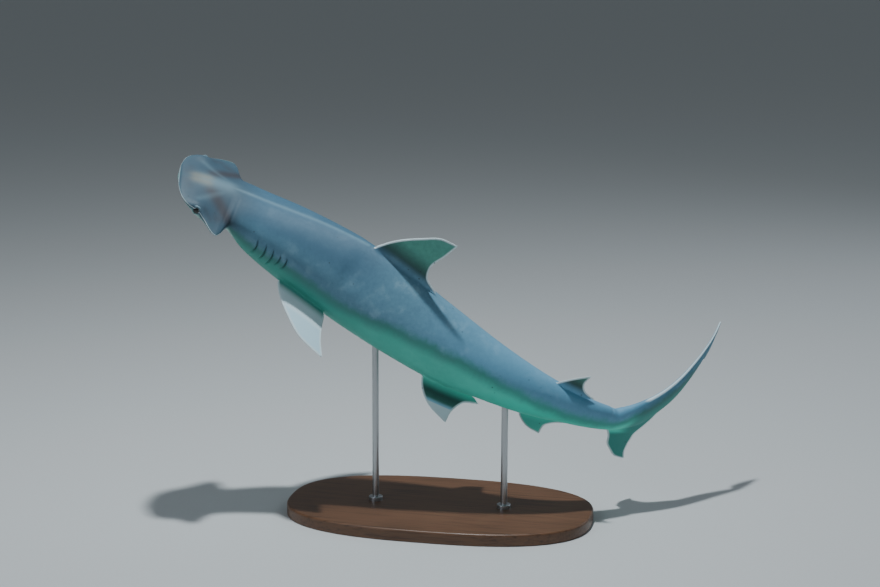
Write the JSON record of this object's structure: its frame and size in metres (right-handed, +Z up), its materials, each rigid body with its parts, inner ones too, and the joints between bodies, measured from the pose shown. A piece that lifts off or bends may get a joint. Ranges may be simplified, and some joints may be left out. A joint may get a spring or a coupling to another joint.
{
  "type": "museum model of a bonnethead shark on a stand",
  "caption": "Life-size still model of a bonnethead, a small hammerhead shark, swimming upward with its tail swept aside, held over a flat display base by slim rods.",
  "frame": {"origin": "middle of the underside of the stand's base, on the floor", "axes": "+Z up; the head points towards -X and rises, the shark's left side faces -Y, and the tail is swept towards +Y"},
  "size_m": [0.7716, 0.3876, 0.5348],
  "materials": {
    "shark_skin": "satin painted skin of a museum cast, blue-grey above and pale below",
    "fin_skin": "satin painted skin, paler towards the fin edges",
    "eye": "glossy dark model eye",
    "stand_base": "pale matt lacquer over wood",
    "stand_rod": "brushed bright steel"
  },
  "bodies": {
    "root": {"head": "shark_skin", "gill_section": "shark_skin", "torso": "shark_skin", "hind_trunk": "shark_skin", "tail_stalk": "shark_skin", "tail_fin_upper": "shark_skin", "tail_fin_lower": "fin_skin", "first_dorsal_fin": "fin_skin", "second_dorsal_fin": "fin_skin", "anal_fin": "fin_skin", "pectoral_fin_left": "fin_skin", "pectoral_fin_right": "fin_skin", "pelvic_fin_left": "fin_skin", "pelvic_fin_right": "fin_skin", "eye_left": "eye", "eye_right": "eye", "stand_base": "stand_base", "stand_rod_front": "stand_rod", "stand_rod_rear": "stand_rod"}
  },
  "joints": []
}
